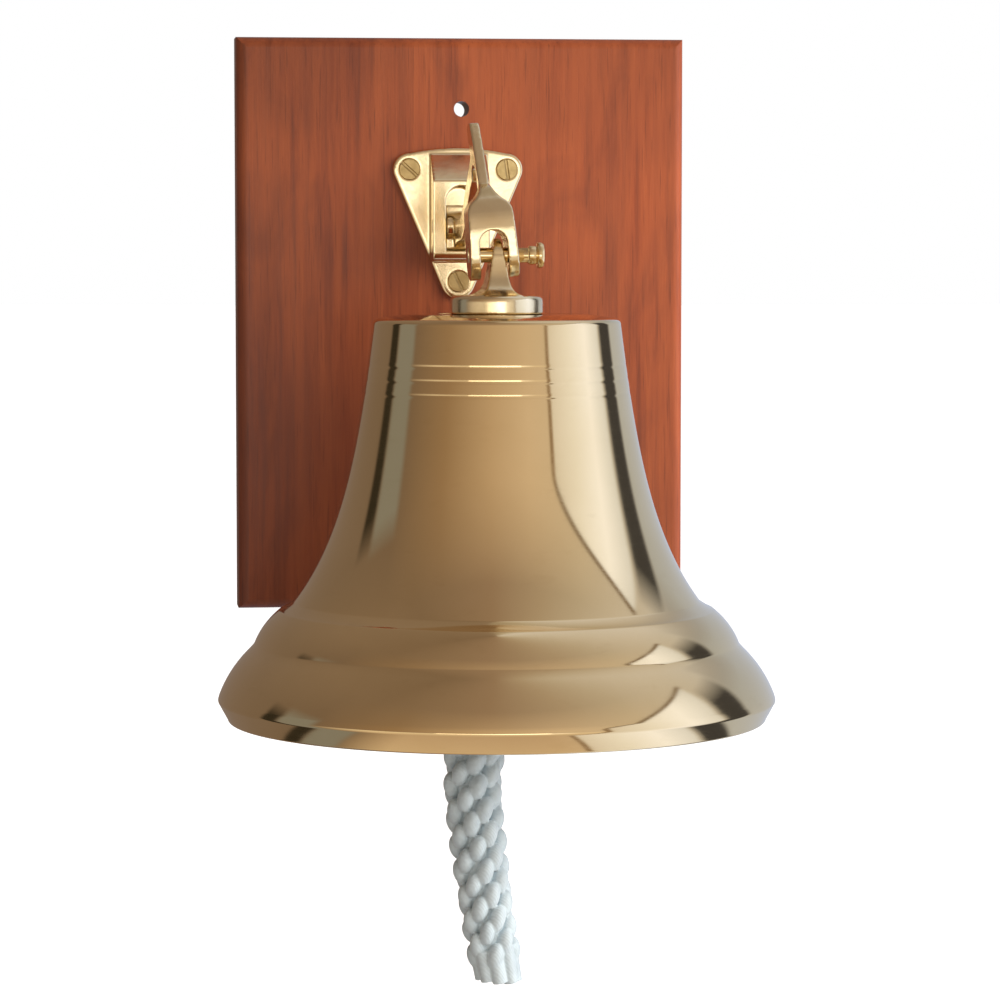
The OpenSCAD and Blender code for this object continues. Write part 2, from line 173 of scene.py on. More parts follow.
def finish_piece(piece, material, body, slot, *nodes):
    """Gives a piece its material and the body it moves with, and hides the CAD nodes it replaces; slot is
    not used.
    """
    if material is not None:
        piece.data.materials.clear()
        piece.data.materials.append(material)
    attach(piece, body)
    if nodes:
        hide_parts(*nodes)
    return piece


# ---------------------------------------------------------------- lanyard

CORD_ROUTE = [(-3, 0.5), (-6.5, -8), (-8.6, -18), (-8.2, -32), (-6, -52), (-3, -74), (1, -97)]
ROUTE_STEP = 0.004


def smooth_route(points, step):
    """Points about step apart on one smooth curve through the route's own points."""
    p = [Vector((x * MM, 0, z * MM)) + BELL_AXIS + Vector((0, 0, RIM_Z)) for x, z in points]
    out = []
    for i in range(len(p) - 1):
        a, b = p[max(i - 1, 0)], p[i]
        c, d = p[i + 1], p[min(i + 2, len(p) - 1)]
        count = max(2, round((c - b).length / step))
        for k in range(count):
            t = k / count
            out.append(0.5 * (2 * b + (c - a) * t + (2 * a - 5 * b + 4 * c - d) * t ** 2
                              + (3 * b - a - 3 * c + d) * t ** 3))
    return out + [p[-1]]


CORD_PATH = smooth_route(CORD_ROUTE, ROUTE_STEP)


def along(path, distance):
    """The point and direction at a distance along a path."""
    left = distance
    for a, b in zip(path, path[1:]):
        length = (b - a).length
        if left <= length:
            return a + (b - a) * (left / length), (b - a).normalized()
        left -= length
    direction = (path[-1] - path[-2]).normalized()
    return path[-1] + direction * left, direction


CORD_LENGTH = sum((b - a).length for a, b in zip(CORD_PATH, CORD_PATH[1:]))

# The plait: lengths in metres, turns in degrees, and the twist in radians for each metre
COLUMNS = 8
STITCH = 0.0089
FIRST_STITCH = 0.003
TAIL = 0.011
PLAIT_LENGTH = CORD_LENGTH - TAIL
TOP_RADIUS = 0.0114
END_RADIUS = 0.0098
TWIST = -22.0
STITCH_SLANT = -17
STITCH_LEAN = -9

# A stitch's half sizes: across and outwards as shares of the cord's radius, along as a share of a stitch
STITCH_ACROSS = 0.29
STITCH_ALONG = 0.57
STITCH_DEEP = 0.31
STITCH_SEAT = 0.69

# How much the stitches differ from each other
PLAIT_SEED = 7
ANGLE_SPREAD = 0.03
SLANT_SPREAD = 4
SIZE_SPREAD = 0.03

# The core under the stitches
CORE_START = 0.002
CORE_STEP = 0.003
CORE_SHARE = 0.58

# The strands' blunt ends below the last stitch
END_STRAND_RADIUS = 0.0027
END_OVERLAP = 0.003
END_REACH = 0.86
END_REACH_CHANGE = 0.14
END_SEAT_TOP = 0.62
END_SEAT_LOW = 0.58

LOBE_DETAIL = 3
STRAND_SIDES = 20
LANYARD_VOXEL = 0.00030
LANYARD_PASSES = 2


def cord_radius(distance):
    """The plait's radius, which narrows towards its end."""
    return TOP_RADIUS + (END_RADIUS - TOP_RADIUS) * distance / PLAIT_LENGTH


def column_angle(column, distance):
    """The angle of a column of stitches round the cord, at a distance along it."""
    return 2 * math.pi * (column + 0.5) / COLUMNS + TWIST * distance


def add_lobe(mesh, centre, turn, size):
    """A ball stretched to a size and turned."""
    ball = bmesh.ops.create_icosphere(mesh, subdivisions=LOBE_DETAIL, radius=1.0)
    matrix = Matrix.Translation(centre) @ turn.to_4x4() @ Matrix.Diagonal((*size, 1))
    bmesh.ops.transform(mesh, matrix=matrix, verts=ball["verts"])


def add_strand(mesh, start, end, radius):
    """A straight strand with blunt ends."""
    turn = (end - start).to_track_quat("Z", "Y").to_matrix().to_4x4()
    matrix = Matrix.Translation((start + end) / 2) @ turn
    bmesh.ops.create_cone(mesh, cap_ends=True, segments=STRAND_SIDES, radius1=radius, radius2=radius,
                          depth=(end - start).length, matrix=matrix)


def cord_frame(distance, angle):
    """The cord's centre, its direction, and the way out from it at an angle, at a distance along it."""
    centre, direction = along(CORD_PATH, distance)
    side = Vector((0, 1, 0)).cross(direction).normalized()
    front = direction.cross(side).normalized()
    return centre, direction, side * math.cos(angle) + front * math.sin(angle)


def add_stitches(mesh):
    """Columns of slanting strands that bulge out, each column half a stitch out of step with the next."""
    rng = np.random.default_rng(PLAIT_SEED)
    for k in range(COLUMNS):
        start = FIRST_STITCH if k % 2 else FIRST_STITCH + STITCH / 2
        for j in range(int((PLAIT_LENGTH - start) / STITCH) + 1):
            s = start + j * STITCH
            outer = cord_radius(s)
            centre, direction, out = cord_frame(s, column_angle(k, s) + rng.normal(0, ANGLE_SPREAD))
            across = direction.cross(out).normalized()
            turn = Matrix((across, direction, out)).transposed()
            slant = Matrix.Rotation(math.radians(rng.normal(0, SLANT_SPREAD) + STITCH_SLANT), 3, "Z")
            lean = Matrix.Rotation(math.radians(STITCH_LEAN), 3, "X")
            grow = 1 + rng.normal(0, SIZE_SPREAD)
            size = (STITCH_ACROSS * outer * grow, STITCH_ALONG * STITCH * grow, STITCH_DEEP * outer)
            add_lobe(mesh, centre + out * outer * STITCH_SEAT, turn @ slant @ lean, size)


def add_core(mesh):
    """A row of balls that fills the middle of the plait."""
    for i in range(int(PLAIT_LENGTH / CORE_STEP)):
        s = CORE_START + i * CORE_STEP
        add_lobe(mesh, along(CORD_PATH, s)[0], Matrix.Identity(3), (cord_radius(s) * CORE_SHARE,) * 3)


def add_cut_ends(mesh):
    """The strands below the last stitch, cut off blunt and a little uneven."""
    for k in range(COLUMNS):
        angle = column_angle(k, PLAIT_LENGTH)
        reach = TAIL * (END_REACH - END_REACH_CHANGE * math.cos(angle))
        start, direction, out = cord_frame(PLAIT_LENGTH - END_OVERLAP, angle)
        end = start + direction * (reach + END_OVERLAP)
        add_strand(mesh, start + out * END_RADIUS * END_SEAT_TOP, end + out * END_RADIUS * END_SEAT_LOW,
                   END_STRAND_RADIUS)


def make_lanyard():
    """Round sennit over a core, with its strands cut off blunt below the last stitch."""
    mesh = bmesh.new()
    add_stitches(mesh)
    add_core(mesh)
    add_cut_ends(mesh)
    data = bpy.data.meshes.new("lanyard_sennit")
    mesh.to_mesh(data)
    mesh.free()
    piece = bpy.data.objects.new("lanyard_sennit", data)
    bpy.context.scene.collection.objects.link(piece)
    voxel_smooth(piece, LANYARD_VOXEL, LANYARD_PASSES)
    return piece


# ---------------------------------------------------------------- material helpers

# Places of the colour sockets on a Mix node
MIX_FACTOR = 0
MIX_COLOR_A = 6
MIX_COLOR_B = 7
MIX_COLOR_OUT = 2


class Graph:
    """Short names for building a tree of shader nodes."""

    def __init__(self, name, tree=None):
        if tree is None:
            self.material = bpy.data.materials.new(name)
            self.material.use_nodes = True
            tree = self.material.node_tree
            self.shader = tree.nodes["Principled BSDF"]
        self.tree = tree
        self.place = self.tree.nodes.new("ShaderNodeTexCoord").outputs["Object"]

    def node(self, kind, **values):
        """A new shader node with some of its settings."""
        made = self.tree.nodes.new("ShaderNode" + kind)
        for key, value in values.items():
            setattr(made, key, value)
        return made

    def join(self, source, target):
        self.tree.links.new(source, target)

    def stretched(self, scale):
        """The place on the piece, with each axis scaled."""
        mapping = self.node("Mapping")
        mapping.inputs["Scale"].default_value = scale
        self.join(self.place, mapping.inputs["Vector"])
        return mapping.outputs["Vector"]

    def noise(self, place, scale, detail, roughness, distortion=0):
        made = self.node("TexNoise")
        for key, value in (("Scale", scale), ("Detail", detail), ("Roughness", roughness),
                           ("Distortion", distortion)):
            made.inputs[key].default_value = value
        self.join(place, made.inputs["Vector"])
        return made.outputs["Fac"]

    def ramp(self, value, stops):
        """A colour that follows a value through its stops."""
        made = self.node("ValToRGB")
        elements = made.color_ramp.elements
        while len(elements) < len(stops):
            elements.new(0.5)
        for element, (at, color) in zip(elements, stops):
            element.position = at
            element.color = (*color, 1)
        self.join(value, made.inputs["Fac"])
        return made.outputs["Color"]

    def spread(self, value, low, high, to_low=0.0, to_high=1.0):
        """Maps low..high to to_low..to_high, held at both ends."""
        made = self.node("MapRange")
        made.clamp = True
        for key, number in (("From Min", low), ("From Max", high), ("To Min", to_low), ("To Max", to_high)):
            made.inputs[key].default_value = number
        self.join(value, made.inputs["Value"])
        return made.outputs["Result"]

    def math(self, kind, a, b):
        made = self.node("Math", operation=kind)
        for socket, value in zip(made.inputs, (a, b)):
            if isinstance(value, (int, float)):
                socket.default_value = value
            else:
                self.join(value, socket)
        return made.outputs["Value"]

    def band(self, value, low, high, soft):
        """One inside the range, nothing outside it, with soft ends."""
        rise = self.spread(value, low - soft, low + soft)
        fall = self.spread(value, high - soft, high + soft, 1.0, 0.0)
        return self.math("MULTIPLY", rise, fall)

    def mix(self, factor, a, b, kind="MIX"):
        made = self.node("Mix", data_type="RGBA", blend_type=kind)
        sockets = (made.inputs[MIX_FACTOR], made.inputs[MIX_COLOR_A], made.inputs[MIX_COLOR_B])
        for socket, value in zip(sockets, (factor, a, b)):
            if isinstance(value, (int, float)):
                socket.default_value = value
            elif isinstance(value, tuple):
                socket.default_value = (*value, 1)
            else:
                self.join(value, socket)
        return made.outputs[MIX_COLOR_OUT]

    def bump(self, height, distance, strength, after=None):
        made = self.node("Bump")
        made.inputs["Distance"].default_value = distance
        made.inputs["Strength"].default_value = strength
        self.join(height, made.inputs["Height"])
        if after is not None:
            self.join(after, made.inputs["Normal"])
        return made.outputs["Normal"]

    def to(self, **targets):
        """Sets or joins the shader's inputs, and returns the material."""
        for key, value in targets.items():
            socket = self.shader.inputs[key.replace("_", " ")]
            if isinstance(value, (int, float)):
                socket.default_value = value
            elif isinstance(value, tuple):
                socket.default_value = (*value, 1)
            else:
                self.join(value, socket)
        return self.material


# ---------------------------------------------------------------- materials

# Brass, as light and dark patches
POLISHED_LIGHT, POLISHED_DARK = (0.86, 0.67, 0.39), (0.82, 0.63, 0.35)
TARNISH = (0.62, 0.44, 0.22)
CAST_LIGHT, CAST_DARK = (0.91, 0.77, 0.51), (0.82, 0.66, 0.40)
SCREW_LIGHT, SCREW_DARK = (0.66, 0.50, 0.24), (0.45, 0.32, 0.14)
INNER_LIGHT, INNER_DARK = (0.50, 0.37, 0.19), (0.30, 0.21, 0.10)

# Wood: the grain from dark to light, then the bands, clouds, flames and pores laid over it
GRAIN_STOPS = [(0.30, (0.150, 0.029, 0.009)), (0.50, (0.270, 0.056, 0.017)), (0.70, (0.360, 0.086, 0.026))]
BAND_COLOR = (0.420, 0.102, 0.030)
CLOUD_COLOR = (0.130, 0.030, 0.014)
FLAME_COLOR = (0.125, 0.028, 0.013)
PORE_COLOR = (0.075, 0.018, 0.009)

CORD_CLEAN, CORD_SOILED = (0.54, 0.63, 0.68), (0.42, 0.50, 0.55)
FIBRE_LIGHT, FIBRE_DARK = (0.09, 0.05, 0.03), (0.05, 0.03, 0.02)


def polished_brass():
    """Turned and polished: faint rings from the lathe, light tarnish, hardly any roughness."""
    g = Graph("polished_brass")
    cloud = g.noise(g.place, 18, 5, 0.6)
    tarnish = g.noise(g.stretched((1, 1, 3)), 60, 6, 0.65)
    color = g.mix(g.spread(cloud, 0.35, 0.7), POLISHED_LIGHT, POLISHED_DARK)
    color = g.mix(g.spread(tarnish, 0.58, 0.82, 0, 0.22), color, TARNISH)
    rings = g.noise(g.stretched((0.4, 0.4, 30)), 90, 3, 0.5)
    rough = g.math("ADD", g.spread(cloud, 0.3, 0.75, 0.05, 0.10), g.spread(rings, 0.4, 0.7, 0, 0.03))
    normal = g.bump(rings, 0.00001, 0.12)
    return g.to(Base_Color=color, Metallic=1.0, Roughness=rough, Normal=normal)


def cast_brass():
    """Cast and buffed: a little lumpy, with softer reflections."""
    g = Graph("cast_brass")
    cloud = g.noise(g.place, 45, 5, 0.6)
    fine = g.noise(g.place, 420, 4, 0.6)
    color = g.mix(g.spread(cloud, 0.35, 0.7), CAST_LIGHT, CAST_DARK)
    rough = g.math("ADD", g.spread(cloud, 0.3, 0.75, 0.13, 0.22), g.spread(fine, 0.4, 0.7, 0, 0.05))
    normal = g.bump(fine, 0.00003, 0.2, g.bump(cloud, 0.0005, 0.25))
    return g.to(Base_Color=color, Metallic=1.0, Roughness=rough, Normal=normal)


def dull_brass(name, light, dark):
    """Brass that is never polished: patchy and rough."""
    g = Graph(name)
    cloud = g.noise(g.place, 90, 5, 0.65)
    fine = g.noise(g.place, 700, 4, 0.6)
    color = g.mix(g.spread(cloud, 0.35, 0.7), light, dark)
    rough = g.math("ADD", g.spread(cloud, 0.3, 0.75, 0.26, 0.42), g.spread(fine, 0.4, 0.7, 0, 0.1))
    return g.to(Base_Color=color, Metallic=1.0, Roughness=rough, Normal=g.bump(fine, 0.00006, 0.35))


def varnished_wood():
    """Reddish mahogany with upright grain, dark pores and flames, painted shade towards the left and top,
    and painted light towards the right.
    """
    g = Graph("varnished_wood")
    warp = g.noise(g.place, 7, 3, 0.5)
    grain = g.noise(g.stretched((1, 1, 0.045)), 330, 6, 0.62, 0.35)
    band = g.noise(g.stretched((1, 1, 0.10)), 55, 4, 0.55, 0.8)
    pores = g.noise(g.stretched((1, 1, 0.035)), 1300, 2, 0.5)
    flame = g.noise(g.stretched((1, 1, 0.45)), 30, 4, 0.5, 1.4)
    color = g.ramp(grain, GRAIN_STOPS)
    color = g.mix(g.spread(band, 0.35, 0.65, 0, 0.6), color, BAND_COLOR)
    color = g.mix(g.spread(warp, 0.42, 0.66, 0, 0.6), color, CLOUD_COLOR)
    color = g.mix(g.spread(flame, 0.50, 0.72, 0, 0.5), color, FLAME_COLOR)
    color = g.mix(g.spread(pores, 0.60, 0.72, 0, 0.4), color, PORE_COLOR)
    # Painted shade and light: the colour is darkened towards the left and the top and brightened towards the
    # right, as if light fell from the right
    split = g.node("SeparateXYZ")
    g.join(g.place, split.inputs["Vector"])
    slanting = g.math("ADD", split.outputs["X"], g.math("MULTIPLY", split.outputs["Z"], 0.5))
    painted_shade_left = g.spread(slanting, -0.08, 0.09, 0.66, 1.22)
    painted_shade_top = g.spread(split.outputs["Z"], 0.06, 0.11, 1.0, 0.78)
    color = g.mix(1.0, color, g.math("MULTIPLY", painted_shade_left, painted_shade_top), "MULTIPLY")
    rough = g.math("ADD", g.spread(grain, 0.3, 0.7, 0.34, 0.46), g.spread(warp, 0.4, 0.7, 0, 0.08))
    normal = g.bump(pores, 0.00012, 0.35, g.bump(grain, 0.00025, 0.25))
    return g.to(Base_Color=color, Roughness=rough, Normal=normal, Specular_IOR_Level=0.3,
                Coat_Weight=0.12, Coat_Roughness=0.30)


def white_cord():
    """Glossy white braid: fine slanting lines over the strands, with greyer patches."""
    g = Graph("white_cord")
    weave = g.node("TexWave", wave_type="BANDS", bands_direction="DIAGONAL")
    for key, value in (("Scale", 420), ("Distortion", 1.5), ("Detail", 2)):
        weave.inputs[key].default_value = value
    g.join(g.place, weave.inputs["Vector"])
    fibre = g.noise(g.stretched((1, 1, 0.3)), 1500, 3, 0.6)
    soil = g.noise(g.place, 120, 4, 0.6)
    color = g.mix(g.spread(soil, 0.4, 0.75), CORD_CLEAN, CORD_SOILED)
    height = g.math("ADD", g.math("MULTIPLY", weave.outputs["Fac"], 0.6), g.math("MULTIPLY", fibre, 0.4))
    normal = g.bump(height, 0.00018, 0.5)
    return g.to(Base_Color=color, Roughness=g.spread(soil, 0.3, 0.7, 0.28, 0.45), Normal=normal,
                Sheen_Weight=0.25, Coat_Weight=0.15, Coat_Roughness=0.25)


def fibre_washer():
    """Dull dark fibre for the washer under the bell's top."""
    g = Graph("fibre_washer")
    cloud = g.noise(g.place, 300, 5, 0.6)
    color = g.mix(cloud, FIBRE_LIGHT, FIBRE_DARK)
    return g.to(Base_Color=color, Roughness=0.75, Normal=g.bump(cloud, 0.0001, 0.4))


POLISHED = polished_brass()
CAST = cast_brass()
SCREW_BRASS = dull_brass("screw_brass", SCREW_LIGHT, SCREW_DARK)
INNER_BRASS = dull_brass("inner_brass", INNER_LIGHT, INNER_DARK)
WOOD = varnished_wood()
CORD = white_cord()
FIBRE = fibre_washer()


def make_cord_pieces():
    """The lanyard, in the cord material, moving with the lanyard body in place of the CAD lanyard."""
    piece = make_lanyard()
    finish_piece(piece, CORD, "lanyard", "cord", "lanyard")


make_cord_pieces()


# ---------------------------------------------------------------- bell

# The section of the bell, in mm from its axis and above its lip, from the top down and back up inside
MOUTH_R = (BELL_HIGH.x - BELL_LOW.x) / 2 / MM
BELL_H = (BELL_HIGH.z - BELL_LOW.z) / MM
WAIST_R = 43.5
WAIST_TAPER = 0.10
WAIST_TOP = 144
FLARE = 22.2
FLARE_Z = 38
FLARE_SCALE = 30
STEP_Z = 42.4
SHOULDER_Z = 141.4
SHOULDER_R = 2.2
SHOULDER_SLOPE = math.radians(8)
GROOVES = (117.3, 122.3, 127.3)
GROOVE_DEPTH = 0.10
GROOVE_HALF = 0.70
LEDGE_CORNER = (75.6, 40.3)
BAND_HIGH = ((77.9, 39.4), (86.9, 27.6))
COVE_CORNER = (87.2, 26.8)
BAND_LOW = ((89.4, 24.6), (99.6, 9.0))
BAND_BULGE = 0.9
LIP_ROUND = 1.6
LIP_FROM = 10
LIP_TURN = 38
LIP_LOW = (96.6, 0.8)
LIP_EDGE = 0.8
LIP_INSIDE = (94.5, 0.0)
MOUTH_INSIDE = (93.5, 0.6)
WAIST_WALL = 5
BOW_WALL = 3
BOW_SCALE = 18
BOW_Z = 28.0
INSIDE_TOP = 139.0
INSIDE_ROUND = (3, 2)
TOP_HOLE_R = 4.0
CROWN_SEAT_R = 24.0
TOP_EDGE = 0.3
TOP_EDGE_DROP = 0.04
BELL_SIDES = 256
SHOULDER_STEPS = 16
WAIST_STEPS = 400
COVE_STEPS = 12
BAND_STEPS = 32
LIP_STEPS = 12
LIP_EDGE_STEPS = 6
INSIDE_STEPS = 120


def waist(z):
    """Radius of the bell's waist in mm at a height in mm above the lip."""
    return WAIST_R + WAIST_TAPER * (WAIST_TOP - z) + FLARE * math.exp(-(z - FLARE_Z) / FLARE_SCALE)


def wall(z):
    """Thickness of the bell's wall in mm, greatest at the sound bow."""
    return WAIST_WALL + BOW_WALL * math.exp(-(z - BOW_Z) / BOW_SCALE)


def cove(a, corner, b):
    """A hollow curve that leaves one point towards the corner and reaches the other from it."""
    out = []
    for i in range(1, COVE_STEPS):
        t = i / COVE_STEPS
        p, q, r = (Vector(point) for point in (a, corner, b))
        out.append(tuple((1 - t) ** 2 * p + 2 * t * (1 - t) * q + t ** 2 * r))
    return out


def band(a, b):
    """A gently bulging band between two points of the section."""
    out = []
    for i in range(BAND_STEPS + 1):
        t = i / BAND_STEPS
        bulge = BAND_BULGE * 4 * t * (1 - t)
        out.append((a[0] + (b[0] - a[0]) * t + bulge, a[1] + (b[1] - a[1]) * t + bulge / 2))
    return out


def groove_cut(z):
    """How far the three fine grooves cut into the waist at a height."""
    return sum(GROOVE_DEPTH * math.exp(-((z - g) / GROOVE_HALF) ** 2) for g in GROOVES)


def shoulder_and_waist():
    """The top's gentle slope, the rounded shoulder, and the waist with its fine grooves."""
    centre = waist(SHOULDER_Z) - SHOULDER_R
    start_r = centre + SHOULDER_R * math.sin(SHOULDER_SLOPE)
    rise = BELL_H - SHOULDER_Z - SHOULDER_R * math.cos(SHOULDER_SLOPE)
    edge_r = start_r - rise / math.tan(SHOULDER_SLOPE)
    out = [(edge_r - TOP_EDGE, BELL_H), (edge_r + TOP_EDGE, BELL_H - TOP_EDGE_DROP)]
    for i in range(SHOULDER_STEPS + 1):
        a = (math.pi / 2 - SHOULDER_SLOPE) * (1 - i / SHOULDER_STEPS)
        out.append((centre + SHOULDER_R * math.cos(a), SHOULDER_Z + SHOULDER_R * math.sin(a)))
    for i in range(1, WAIST_STEPS + 1):
        z = SHOULDER_Z - (SHOULDER_Z - STEP_Z) * i / WAIST_STEPS
        out.append((waist(z) - groove_cut(z), z))
    return out


def lip():
    """The rounded edge, then the face cut back below it."""
    centre_r, centre_z = MOUTH_R - LIP_ROUND, BAND_LOW[1][1] - LIP_ROUND
    out = []
    for i in range(LIP_STEPS + 1):
        a = math.radians(LIP_FROM - LIP_TURN * i / LIP_STEPS)
        out.append((centre_r + LIP_ROUND * math.cos(a), centre_z + LIP_ROUND * math.sin(a)))
    out.append(LIP_LOW)
    for i in range(1, LIP_EDGE_STEPS + 1):
        a = math.pi / 2 * i / LIP_EDGE_STEPS
        out.append((LIP_LOW[0] - LIP_EDGE * (1 - math.cos(a)), LIP_LOW[1] - LIP_EDGE * math.sin(a)))
    return out


def outside_section():
    """The outside, from the top's outer edge down to the lip."""
    section = shoulder_and_waist()
    section += cove((waist(STEP_Z), STEP_Z), LEDGE_CORNER, BAND_HIGH[0])
    section += band(*BAND_HIGH)
    section += cove(BAND_HIGH[1], COVE_CORNER, BAND_LOW[0])
    section += band(*BAND_LOW)
    return section + lip() + [LIP_INSIDE]


def inside_section():
    """The inside, from the lip up to the hole in the top."""
    round_r, round_z = INSIDE_ROUND
    section = [MOUTH_INSIDE]
    for i in range(INSIDE_STEPS + 1):
        z = BOW_Z + (INSIDE_TOP - round_z - BOW_Z) * i / INSIDE_STEPS
        section.append((waist(z) - wall(z), z))
    section.append((waist(INSIDE_TOP) - wall(INSIDE_TOP) - round_r, INSIDE_TOP))
    return section + [(TOP_HOLE_R, INSIDE_TOP)]


def make_bell():
    """The bell's shell, polished outside and dull inside."""
    outside = [(TOP_HOLE_R, BELL_H), (CROWN_SEAT_R, BELL_H)] + outside_section()
    section = [(r * MM, z * MM + RIM_Z) for r, z in outside + inside_section()]
    piece = lathe("bell_body", section, BELL_AXIS, BELL_SIDES)
    close_ends(piece)
    piece.data.materials.append(POLISHED)
    piece.data.materials.append(INNER_BRASS)
    for face in piece.data.polygons:
        if face.index // BELL_SIDES >= len(outside) - 1:
            face.material_index = 1
    return finish_piece(piece, None, "bell", "turned_brass", "bell")


make_bell()


# ---------------------------------------------------------------- bell pin, screws, castings, CAD pieces

# The bell pin from its plain end: radius, and distance from that end, in mm
PIN_TIP_R = 0.001
PIN_SHANK = [(PIN_TIP_R, 0), (2.3, 0), (2.7, 0.4)]

# Then its collar and neck: radius, and distance back from the head's end, in mm
PIN_COLLAR = [(2.7, 6.0), (2.9, 5.7), (3.3, 5.5), (3.4, 5.2), (3.4, 3.4), (3.1, 2.8), (3.1, 2.65),
              (3.5, 2.6)]

# Then its turned head: how far below the head's radius, and distance back from the head's end, in mm
PIN_HEAD = [(0.5, 2.55), (0.1, 2.25), (0.0, 1.7), (0.05, 1.0), (0.5, 0.35), (1.4, 0.08)]
PIN_SIDES = 64
SHARP_DEGREES = 35


def bevel_shade(piece, degrees):
    """Smooth shading except over edges sharper than this."""
    close_ends(piece)
    piece.data.shade_smooth()
    mesh = bmesh.new()
    mesh.from_mesh(piece.data)
    for edge in mesh.edges:
        if len(edge.link_faces) == 2 and edge.calc_face_angle(0) > math.radians(degrees):
            edge.smooth = False
    mesh.to_mesh(piece.data)
    mesh.free()


def make_bell_pin():
    """Plain shank, collar and a turned head."""
    low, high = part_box("bell_pin")
    left, right = low.x / MM, high.x / MM
    head = (high.z - low.z) / 2 / MM
    section = [(r, left + x) for r, x in PIN_SHANK]
    section += [(r, right - x) for r, x in PIN_COLLAR]
    section += [(head - r, right - x) for r, x in PIN_HEAD]
    section.append((PIN_TIP_R, right))
    section = [(r * MM, x * MM) for r, x in section]
    piece = lathe("bell_pin_turned", section, Vector((0, PIN.y, PIN.z)), PIN_SIDES, axis="x", closed=False)
    bevel_shade(piece, SHARP_DEGREES)
    return finish_piece(piece, POLISHED, "bell_pin", "turned_brass", "bell_pin")


make_bell_pin()

# Each casting's node, name, body, and how many times it is smoothed
CASTINGS = (
    ("backplate", "backplate_casting", "bracket", 6),
    ("arm", "arm_casting", "bracket", 8),
    ("crown", "crown_casting", "bell", 5),
)
CASTING_VOXEL = 0.00035
SCREW_VOXEL = 0.00014
SCREW_PASSES = 3

for node, name, body, passes in CASTINGS:
    finish_piece(rounded_casting(node, name, CASTING_VOXEL, passes), CAST, body, "cast_brass", node)

screws = rounded_casting("plate_screws", "plate_screws_worn", SCREW_VOXEL, SCREW_PASSES)
finish_piece(screws, SCREW_BRASS, "bracket", "screw_brass", "plate_screws")

# The material of each CAD piece that is shown as it is
CAD_MATERIALS = {
    "plaque": WOOD,
    "arm_pin": SCREW_BRASS,
    "crown_bolt": INNER_BRASS,
    "crown_washer": FIBRE,
    "crown_nut": INNER_BRASS,
    "clapper_link": INNER_BRASS,
    "clapper_rod": INNER_BRASS,
    "clapper_ball": INNER_BRASS,
    "lanyard_loop": CORD,
}
for node, material in CAD_MATERIALS.items():
    piece = frame["nodes"][node]
    piece.data.materials.clear()
    piece.data.materials.append(material)


# ---------------------------------------------------------------- light and stage

FLOOR_Z = RIM_Z - 0.16
FLOOR_HALF = 30.0
FLOOR_GLOW = 0.78
FLOOR_COLOR = (0.80, 0.79, 0.77)
WHITE = (1.0, 1.0, 1.0)

# The room's colours by azimuth in degrees: 0 is the front, 90 the right and -90 the left
WALL_STOPS = [
    (-180, (0.24, 0.19, 0.16)), (-90, (0.20, 0.15, 0.12)), (-50, (0.34, 0.24, 0.16)),
    (-10, (0.57, 0.45, 0.34)), (20, (0.70, 0.59, 0.49)), (60, (0.70, 0.64, 0.58)),
    (120, (0.55, 0.60, 0.72)), (180, (0.45, 0.45, 0.48)),
]
CEILING_STOPS = [
    (-180, (0.28, 0.22, 0.18)), (-70, (0.24, 0.18, 0.14)), (-10, (0.33, 0.25, 0.20)),
    (30, (0.45, 0.39, 0.34)), (60, (0.54, 0.51, 0.49)), (92, (0.65, 0.65, 0.70)),
    (125, (0.72, 0.75, 0.88)), (155, (0.50, 0.46, 0.40)), (180, (0.36, 0.31, 0.26)),
]

# Colours that change over one patch of the room, from its low end to its high end
FRONT_STOPS = [(0.0, (0.55, 0.43, 0.34)), (0.55, (0.72, 0.60, 0.47)), (0.85, (0.86, 0.76, 0.63))]
PANE_STOPS = [(0.0, (0.80, 0.80, 0.86)), (0.35, (0.96, 1.02, 1.18)), (0.7, (1.12, 1.24, 1.60)),
              (1.0, (0.84, 0.94, 1.20))]
FAR_PANE_STOPS = [(0.0, (0.54, 0.61, 0.76)), (0.45, (0.48, 0.55, 0.70)), (0.8, (0.38, 0.40, 0.47))]

# Patches of the room, in degrees: low and high azimuth with a soft edge, then the heights it fades out over
FRONT_GLOW = ((-75, 40, 15), (1, 6))
LEFT_PANE = ((-107, -87, 2), (20, 27))
LEFT_FRAME = ((-118, -108, 1.5), (17, 25))
WINDOW_SIDE = ((38, 41, 0.8), (19, 22))
FAR_PANE = ((120, 179, 2), (26, 44))
POST = ((101.5, 119, 2), (24, 36))

# The right window's pane and top edge, in degrees of azimuth and above its slanting top
WINDOW_PANE = ((41, 99, 1.5), (-1, 1))
WINDOW_EDGE = ((39, 100, 1.5), (-1.2, 0.8, 0.6))
WINDOW_RUN = (38, 98)
WINDOW_BEND = 0.7
WINDOW_RISE = 22
WINDOW_LOW = 19

# The bright patch straight ahead: low and high azimuth and height, each with a soft edge
AHEAD = ((-8, 20, 7), (-13, 3, 3))

# The heights or azimuths that each set of stops is spread over
CEILING_FROM = (22, 50)
FRONT_HEIGHTS = (-70, 0)
PANE_RUN = (40, 98)
FAR_PANE_HEIGHTS = (0, 40)

AHEAD_COLOR = (1.50, 1.48, 1.42)
LEFT_PANE_COLOR = (0.26, 0.27, 0.28)
LEFT_FRAME_COLOR = (0.035, 0.030, 0.022)
WINDOW_TOP_COLOR = (0.22, 0.17, 0.12)
WINDOW_SIDE_COLOR = (0.30, 0.22, 0.15)
POST_COLOR = (0.060, 0.062, 0.075)


def in_degrees(g, radians):
    return g.math("MULTIPLY", radians, 180 / math.pi)


def around(g, azimuth, stops):
    """A colour that changes with the azimuth."""
    share = g.spread(azimuth, -180, 180)
    return g.ramp(share, [((angle + 180) / 360, color) for angle, color in stops])


def patch(g, azimuth, height, place):
    """One inside a patch of the room, nothing outside it."""
    across, fade = place
    return g.math("MULTIPLY", g.band(azimuth, *across), g.spread(height, *fade, 1.0, 0.0))


